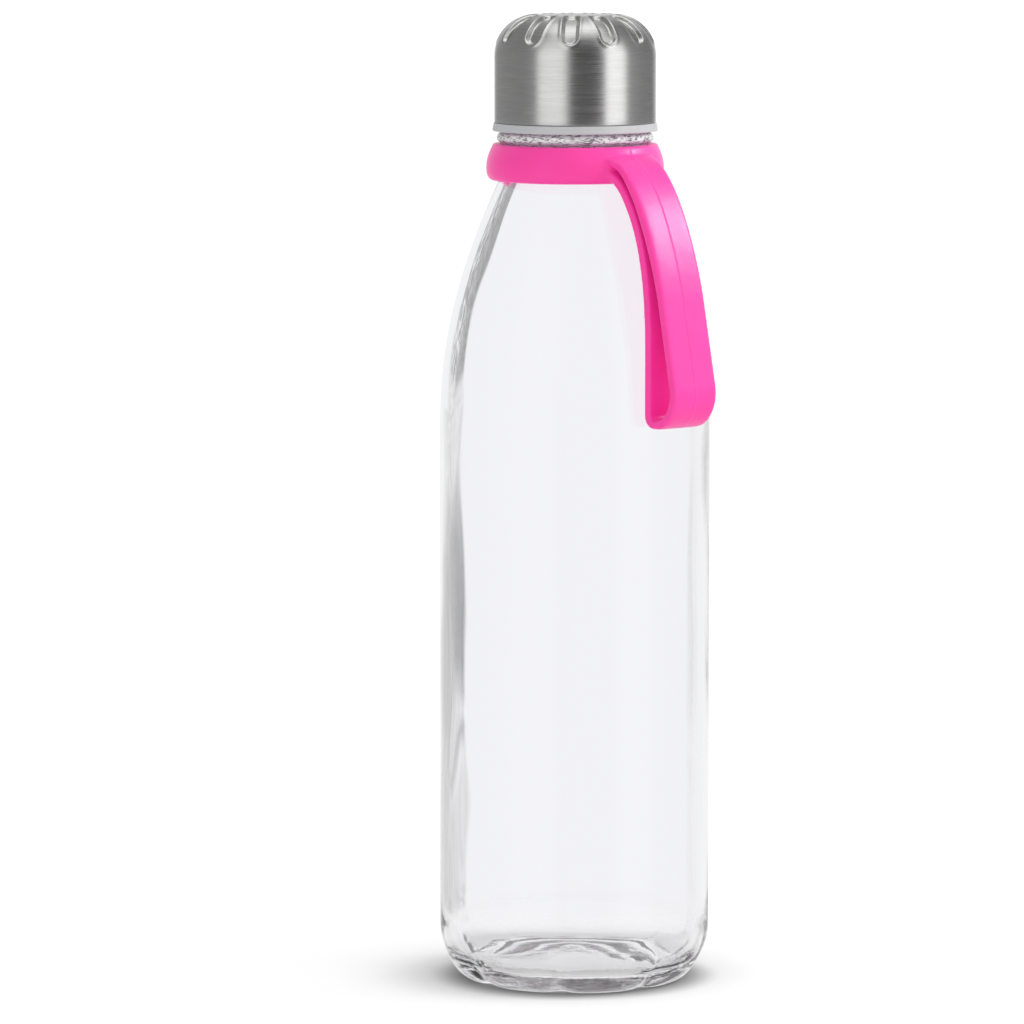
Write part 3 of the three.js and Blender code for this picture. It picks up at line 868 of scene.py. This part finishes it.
# The ring of cards that the cap reflects.
CAP_CARDS = [
    (-180, 0.95), (-163, 0.80), (-145, 0.36), (-75, 0.28), (-54, 0.34), (-46, 1.35), (-12, 1.45), (-3, 0.22),
    (2, 0.05), (35, 0.06), (44, 0.3), (49, 1.85), (74, 1.85), (84, 0.42), (110, 0.30), (145, 0.24),
    (163, 0.70), (180, 0.95),
]
CARDS_RADIUS = 300
CARDS_LEVELS = (160, 800)
CARDS_FADE = (270, 500)  # heights between which the cards even out
CARDS_ABOVE = (0.5, 0.12)  # above that, this share of each card's level and this much more

# What everything else reflects, with the ceiling over it and the light at the top.
ALL_ROUND = [
    (-180, 0.95), (-150, 0.85), (-125, 0.50), (-60, 0.45), (-45, 0.70), (-20, 0.70), (-5, 0.40), (32, 0.40),
    (48, 0.80), (66, 0.80), (80, 0.45), (125, 0.50), (150, 0.85), (180, 0.95),
]
OVERHEAD = 0.42
ZENITH = 1.7
BACKDROP = (0.925, 0.93, 0.945, 1)
OPEN_SPACE = 1.03
FILL = (0.76, 1.12)  # light on matt surfaces, from the left and from the right

# A dark flag stands left of the backdrop. EDGE is the run over which its right side fades, LEAN how far that
# side moves to the right at each elevation, and END the run at its left side. Its level is listed by
# elevation. The hollow of the bottle shows one flag and the thickness of the wall another.
HOLLOW_EDGE = (-20.7, -18.5)
HOLLOW_LEAN = [(-30, 5.9), (-8.0, 5.9), (-6.1, 2.5), (-5.0, 2.5), (-3.8, 0), (-1.5, 0), (1, 2.4), (10, 2.4)]
HOLLOW_END = (-40, -34)
HOLLOW_FLAG = [
    (-30, 0.93), (-14, 0.93), (-11, 0.74), (-8.98, 0.74), (-8.90, 0.90), (-8.78, 0.90), (-8.72, 0.44),
    (-8.50, 0.44), (-8.42, 0.90), (-8.20, 0.90), (-8.05, 0.66), (-7.75, 0.38), (-7.5, 0.20), (-6.6, 0.20),
    (-6.2, 0.48), (-5.9, 0.86), (-4.0, 0.86), (-3.6, 0.14), (10, 0.20),
]
WALL_EDGE = (-35.7, -32.5)
WALL_LEAN = [(-30, 20.4), (-8.0, 20.4), (-6.1, 17.0), (-5.0, 17.0), (-4.0, 0), (10, 0)]
WALL_END = (-62, -56)
WALL_FLAG = [
    (-30, 0.93), (-14, 0.93), (-11, 0.72), (-8, 0.72), (-7.2, 0.60), (-6.6, 0.72), (-6.2, 0.86), (-4.6, 0.88),
    (-2.2, 0.86), (-1.2, 0.46), (10, 0.40),
]
WALL_CROSSINGS = 3  # light that has been bent fewer times than this never left the thickness of the wall
FOLD_DEPTH = 0.25

# The floor is near up to NEAR_FLOOR from the bottle's axis and turns white over PALE_FLOOR, all in metres.
# A contact shadow is painted on it under the heel, darkening from the far to the near end of its run.
FLOOR_HALF = 14
FLOOR_LEVEL = 0.92
FLOOR_CLOUD = 0.01
NEAR_FLOOR = 0.04
PALE_FLOOR = (0.30, 0.60)
SWEPT_LEVEL = 1.05
PAINTED_SHADOW_RUN = (0.028, 0.039)
PAINTED_SHADOW_LEVEL = 0.45
GATHERED_SHARE = 0.6
GATHERED_LEVEL = 0.85

CAMERA_SWING = 4  # degrees that it stands to the right of straight on
CAMERA_DOWN = 6.418
CAMERA_ASIDE = -0.5406
CAMERA_DISTANCE = 1675.1
CAMERA_RIGHT = -0.47
CAMERA_HEIGHT = 310.1
CAMERA_LENS = 228.25


def level_along(nodes, degrees, levels):
    """A grey level read off a list of (degrees, level), blended between entries."""
    first, last = levels[0][0], levels[-1][0]
    highest = max(level for _, level in levels)
    share = nodes.math("DIVIDE", nodes.math("SUBTRACT", degrees, first), last - first)
    ramp = nodes.add("ShaderNodeFloatCurve", {"Value": share})
    curve = ramp.mapping.curves[0]
    for _ in range(len(levels) - len(curve.points)):
        curve.points.new(0.5, 0.5)
    for point, (at, level) in zip(curve.points, levels):
        point.location = ((at - first) / (last - first), level / highest)
        point.handle_type = "VECTOR"
    ramp.mapping.update()
    return nodes.math("MULTIPLY", ramp.outputs[0], highest)


def azimuth(nodes, x, y):
    """The direction of (x, y) in degrees clockwise from +Y, seen from above."""
    return nodes.math("DEGREES", nodes.math("ARCTAN2", x, y))


def outside_flag(nodes, turn, elevation, edge, lean, end):
    """1 where a direction misses the dark flag and 0 where it meets it. Its right edge leans."""
    leaning = nodes.math("SUBTRACT", turn, level_along(nodes, elevation, lean))
    right_of_it = nodes.rescale(leaning, *edge)
    left_of_it = nodes.rescale(turn, *end, 1, 0)
    return nodes.math("MAXIMUM", right_of_it, left_of_it)


def build_world():
    """Level light all round. What shows in and through the bottle is listed above."""
    world = bpy.data.worlds.new("studio")
    world.use_nodes = True
    bpy.context.scene.world = world
    nodes = Nodes(world.node_tree)
    way = nodes.add("ShaderNodeTexCoord").outputs["Generated"]
    apart = nodes.add("ShaderNodeSeparateXYZ", {0: way})
    x, y, z = (apart.outputs[k] for k in range(3))
    reflected = level_along(nodes, azimuth(nodes, x, nodes.math("MULTIPLY", y, -1)), ALL_ROUND)
    reflected = nodes.mix_colour(nodes.rescale(z, 0.3, 0.8), reflected, grey(OVERHEAD))
    reflected = nodes.mix_colour(nodes.rescale(z, 0.86, 0.95), reflected, grey(ZENITH))
    elevation = nodes.math("DEGREES", nodes.math("ARCSINE", z))
    path = nodes.add("ShaderNodeLightPath")
    in_wall = nodes.math("LESS_THAN", path.outputs["Transmission Depth"], WALL_CROSSINGS)
    hollow_level = level_along(nodes, elevation, HOLLOW_FLAG)
    flag = nodes.mix_colour(in_wall, hollow_level, level_along(nodes, elevation, WALL_FLAG))
    folds = nodes.stretched_noise(way, (30, 30, 120), detail=2)
    fold_depth = nodes.rescale(folds, 0.35, 0.65, 0, FOLD_DEPTH)
    fold_depth = nodes.math("MULTIPLY", fold_depth, nodes.rescale(elevation, -14, -11))
    flag = nodes.mix_colour(fold_depth, flag, grey(0))
    # High up, where the shoulder bends it, the wall's streak breaks open.
    gaps = nodes.stretched_noise(way, (45, 45, 60), detail=1)
    open_share = nodes.math("MULTIPLY", nodes.rescale(gaps, 0.50, 0.60), nodes.rescale(elevation, -3, -1))
    flag = nodes.mix_colour(nodes.math("MULTIPLY", open_share, in_wall), flag, BACKDROP)
    turn = azimuth(nodes, x, y)
    outside_hollow = outside_flag(nodes, turn, elevation, HOLLOW_EDGE, HOLLOW_LEAN, HOLLOW_END)
    outside_wall = outside_flag(nodes, turn, elevation, WALL_EDGE, WALL_LEAN, WALL_END)
    behind = nodes.mix_colour(nodes.mix_colour(in_wall, outside_hollow, outside_wall), flag, BACKDROP)
    fill = nodes.rescale(x, -0.7, 0.7, *FILL)
    level = nodes.mix_colour(path.outputs["Is Diffuse Ray"], grey(OPEN_SPACE), fill)
    level = nodes.mix_colour(path.outputs["Is Glossy Ray"], level, reflected)
    level = nodes.mix_colour(path.outputs["Is Transmission Ray"], level, behind)
    background = nodes.add("ShaderNodeBackground", {"Color": level})
    output = nodes.add("ShaderNodeOutputWorld")
    nodes.feed(output.inputs["Surface"], background.outputs[0])


def build_cap_cards():
    """Light and dark cards in a ring at the height of the cap. Only what the cap reflects shows them."""
    sides = 96
    turn = np.arange(sides) * 2 * math.pi / sides
    rim = CARDS_RADIUS * np.column_stack([np.cos(turn), np.sin(turn)])
    vertices = np.vstack([np.column_stack([rim, np.full(sides, level)]) for level in CARDS_LEVELS])
    faces = []
    for side in range(sides):
        after = (side + 1) % sides
        faces.append((side, after, sides + after, sides + side))
    cards = mesh_object("cap_cards", vertices, faces)
    material, nodes = new_material("cards")
    apart = nodes.add("ShaderNodeSeparateXYZ", {0: nodes.add("ShaderNodeTexCoord").outputs["Object"]})
    x, y, z = (apart.outputs[k] for k in range(3))
    level = level_along(nodes, azimuth(nodes, x, nodes.math("MULTIPLY", y, -1)), CAP_CARDS)
    above = nodes.math("MULTIPLY_ADD", level, *CARDS_ABOVE)
    level = nodes.mix_colour(nodes.rescale(z, *(at * MM for at in CARDS_FADE)), level, above)
    card = nodes.add("ShaderNodeEmission", {"Color": level}).outputs[0]
    # A ray that started below the cap passes through the ring, so the glass doesn't mirror the cards.
    back = nodes.add("ShaderNodeNewGeometry").outputs["Incoming"]
    slope = nodes.add("ShaderNodeSeparateXYZ", {0: back}).outputs["Z"]
    rise = nodes.math("MULTIPLY", slope, nodes.add("ShaderNodeLightPath").outputs["Ray Length"])
    from_cap = nodes.math("GREATER_THAN", nodes.math("ADD", z, rise), COLLAR_TOP * MM)
    clear = nodes.add("ShaderNodeBsdfTransparent").outputs[0]
    nodes.shade(nodes.blend_shaders(from_cap, clear, card))
    cards.data.materials.append(material)
    cards.visible_camera = False
    cards.visible_diffuse = False
    cards.visible_transmission = False
    cards.visible_shadow = False


def build_floor():
    """A pale floor that turns white with distance, with a contact shadow painted round the heel."""
    mesh = bpy.data.meshes.new("floor")
    corners = [(x * FLOOR_HALF, y * FLOOR_HALF, 0) for x, y in ((-1, -1), (1, -1), (1, 1), (-1, 1))]
    mesh.from_pydata(corners, [], [(0, 1, 2, 3)])
    floor = bpy.data.objects.new("floor", mesh)
    bpy.context.scene.collection.objects.link(floor)
    material, nodes = new_material("pale_floor")
    place = nodes.add("ShaderNodeTexCoord").outputs["Object"]
    cloud = nodes.noise(place, 3, detail=2)
    distance = nodes.add("ShaderNodeVectorMath", {0: place}, operation="LENGTH").outputs["Value"]
    pale = nodes.mix_colour(cloud, grey(FLOOR_LEVEL - FLOOR_CLOUD), grey(FLOOR_LEVEL + FLOOR_CLOUD))
    # Painted contact shadow: the floor's own colour darkens close round the heel.
    painted_shadow_share = nodes.rescale(distance, *PAINTED_SHADOW_RUN)
    matt = nodes.add("ShaderNodeBsdfDiffuse", {
        "Color": nodes.mix_colour(painted_shadow_share, grey(PAINTED_SHADOW_LEVEL), pale),
        "Roughness": 0.3,
    }).outputs[0]
    # Far from the bottle, what bends through the glass sees the surroundings and not the floor.
    far = nodes.rescale(distance, NEAR_FLOOR, 2.5 * NEAR_FLOOR)
    through = nodes.add("ShaderNodeLightPath").outputs["Is Transmission Ray"]
    open_share = nodes.math("MULTIPLY", far, through)
    # The glass gathers light on the floor under its base.
    gathered = nodes.add("ShaderNodeEmission", {"Color": grey(GATHERED_LEVEL)}).outputs[0]
    matt = nodes.blend_shaders(nodes.math("MULTIPLY", through, GATHERED_SHARE), matt, gathered)
    gap = nodes.add("ShaderNodeBsdfTransparent").outputs[0]
    white = nodes.add("ShaderNodeEmission", {"Color": grey(SWEPT_LEVEL)}).outputs[0]
    swept = nodes.blend_shaders(nodes.rescale(distance, *PALE_FLOOR), matt, white)
    nodes.shade(nodes.blend_shaders(open_share, swept, gap))
    mesh.materials.append(material)
    floor.visible_glossy = False


def build_lamp(name, place, aim, size, watts):
    """A soft square lamp that steel and glass don't show."""
    data = bpy.data.lights.new(name, "AREA")
    data.size = size
    data.energy = watts
    lamp = bpy.data.objects.new(name, data)
    lamp.location = place
    lamp.rotation_euler = (Vector(aim) - Vector(place)).to_track_quat("-Z", "Y").to_euler()
    lamp.visible_glossy = False
    lamp.visible_transmission = False
    lamp.visible_camera = False
    bpy.context.scene.collection.objects.link(lamp)
    return lamp


def build_camera():
    """A long lens, slightly above the bottle and looking a little down."""
    swing = math.radians(CAMERA_SWING)
    right = Vector((math.cos(swing), math.sin(swing), 0))
    ahead = Vector((-math.sin(swing), math.cos(swing), 0))
    down = math.radians(CAMERA_DOWN)
    aside = math.radians(CAMERA_ASIDE)
    data = bpy.data.cameras.new("camera")
    data.lens = CAMERA_LENS
    data.sensor_width = 36
    camera = bpy.data.objects.new("camera", data)
    up = Vector((0, 0, 1))
    camera.location = (right * CAMERA_RIGHT - ahead * CAMERA_DISTANCE + up * CAMERA_HEIGHT) * MM
    level = ahead * math.cos(aside) + right * math.sin(aside)
    way = level * math.cos(down) - up * math.sin(down)
    camera.rotation_euler = way.to_track_quat("-Z", "Y").to_euler()
    bpy.context.scene.collection.objects.link(camera)
    bpy.context.scene.camera = camera


# ---- Put it together ----

for piece, finish in (
    (build_glass(), clear_glass()),
    (build_shell(), brushed_steel()),
    (build_insert(), liner_plastic()),
    (build_seal(), seal_silicone()),
    (build_strap(), strap_silicone()),
):
    piece.data.materials.clear()
    piece.data.materials.append(finish)

build_world()
build_cap_cards()
build_floor()
build_lamp("key_lamp", (1.25, 0.15, 1.05), (0, 0, 0.12), 0.7, 11)
glint = build_lamp("strap_lamp", (0.84, 0.12, 0.66), (0.03, -0.03, 0.19), 0.14, 3.2)
# The small lamp only puts the highlight on the strap.
glint.visible_glossy = True
glint.visible_diffuse = False
strap_only = bpy.data.collections.new("strap_only")
strap_only.objects.link(bpy.data.objects["carry_strap"])
glint.light_linking.receiver_collection = strap_only
build_camera()

scene = bpy.context.scene
scene.view_settings.view_transform = "Standard"
scene.cycles.use_denoising = True
scene.cycles.max_bounces = 32
scene.cycles.glossy_bounces = 16
scene.cycles.transmission_bounces = 24
scene.cycles.caustics_reflective = False
scene.cycles.caustics_refractive = False
